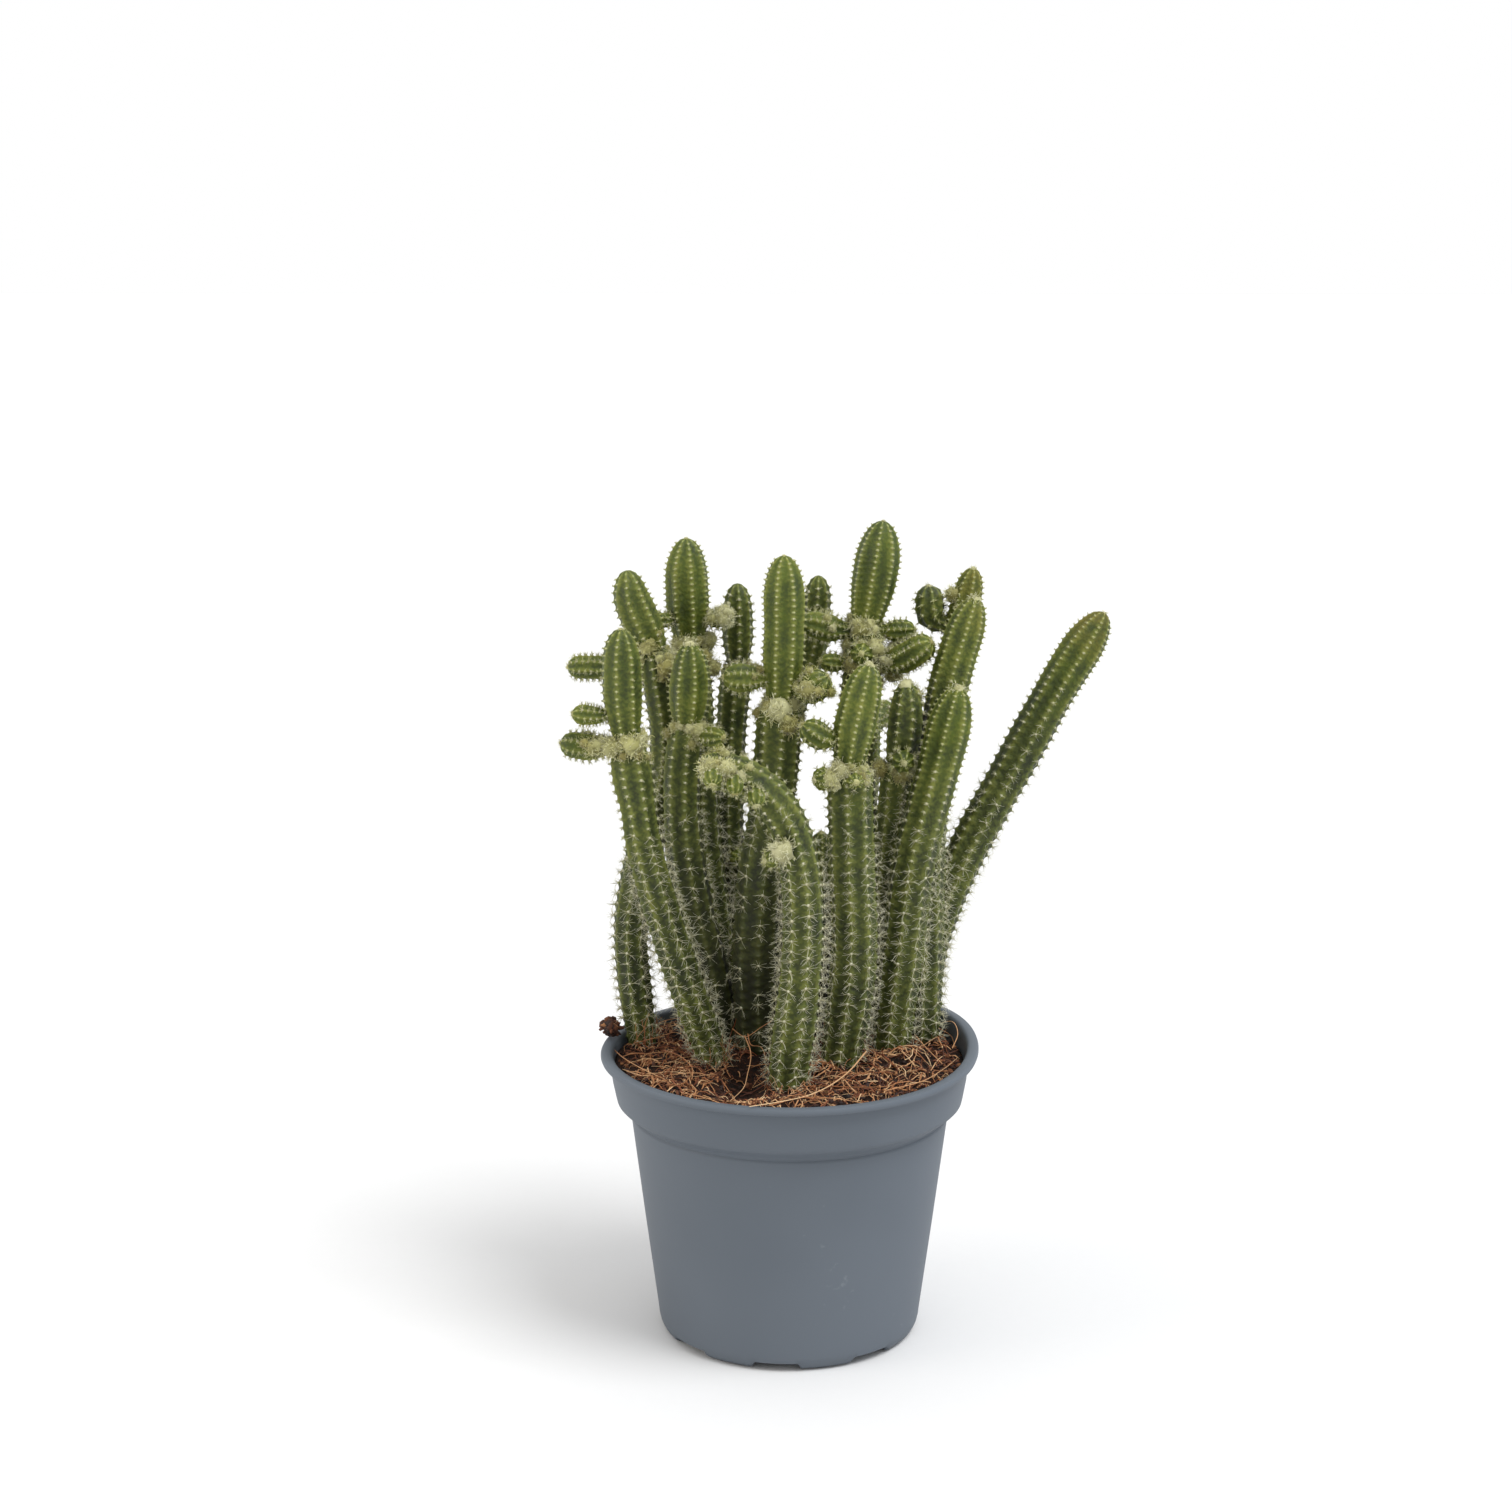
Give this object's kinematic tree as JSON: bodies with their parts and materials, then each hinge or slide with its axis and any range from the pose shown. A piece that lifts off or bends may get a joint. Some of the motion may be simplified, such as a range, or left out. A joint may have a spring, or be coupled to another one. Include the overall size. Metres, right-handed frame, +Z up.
{
  "type": "potted mistletoe cactus",
  "caption": "Bristly upright green cactus stems with young tops and side shoots, growing in a round grey plastic nursery pot of coir mix.",
  "frame": {"origin": "centre of the pot's underside, on the surface it stands on", "axes": "+Z up along the pot's axis; -Y is the front, the side with the nearest stems"},
  "size_m": [0.1726, 0.1363, 0.258],
  "materials": {
    "pot_plastic": "moulded blue-grey polypropylene, semi-matt, with fine scuffs",
    "potting_mix": "dark brown coir and bark crumbs, dry and rough",
    "coir_fibre": "loose reddish-brown and straw-coloured coir fibres",
    "stem_skin": "grey-olive, low-ribbed, satin plant skin",
    "young_skin": "brighter yellow-green young plant skin with pale rib crests",
    "bristle": "fine translucent white to straw bristles",
    "wool": "cream woolly hair at the joints and buds"
  },
  "bodies": {
    "root": {"pot": "pot_plastic", "potting_mix": "potting_mix", "rim_crumb": "potting_mix", "back_centre": "stem_skin", "back_left": "stem_skin", "back_right": "stem_skin", "front_centre": "stem_skin", "front_left": "stem_skin", "front_right": "stem_skin", "leaning_right": "stem_skin", "middle": "stem_skin", "middle_left": "stem_skin", "middle_right": "stem_skin", "near_right": "stem_skin", "outer_left": "stem_skin", "outer_right": "stem_skin", "rear_left": "stem_skin", "rear_middle": "stem_skin", "rear_right": "stem_skin", "tall_left": "stem_skin", "tall_right": "stem_skin", "back_left_shoot_1": "young_skin", "back_left_top": "young_skin", "back_right_shoot_1": "young_skin", "front_centre_shoot_1": "young_skin", "front_centre_shoot_2": "young_skin", "front_centre_shoot_3": "young_skin", "front_centre_shoot_4": "young_skin", "front_left_shoot_1": "young_skin", "front_left_top": "young_skin", "front_left_top_shoot_1": "young_skin", "front_right_shoot_1": "young_skin", "front_right_shoot_2": "young_skin", "front_right_top": "young_skin", "front_right_top_shoot_1": "young_skin", "middle_left_shoot_1": "young_skin", "middle_left_top": "young_skin", "middle_right_top": "young_skin", "middle_right_top_shoot_1": "young_skin", "middle_top": "young_skin", "middle_top_shoot_1": "young_skin", "middle_top_shoot_2": "young_skin", "outer_left_shoot_1": "young_skin", "outer_left_top": "young_skin", "rear_left_shoot_1": "young_skin", "rear_right_shoot_1": "young_skin", "tall_left_top": "young_skin", "tall_left_top_shoot_1": "young_skin", "tall_left_top_shoot_2": "young_skin", "tall_right_shoot_1": "young_skin", "tall_right_shoot_2": "young_skin", "tall_right_shoot_3": "young_skin", "tall_right_shoot_4": "young_skin", "tall_right_shoot_5": "young_skin", "tall_right_top": "young_skin"}
  },
  "joints": []
}
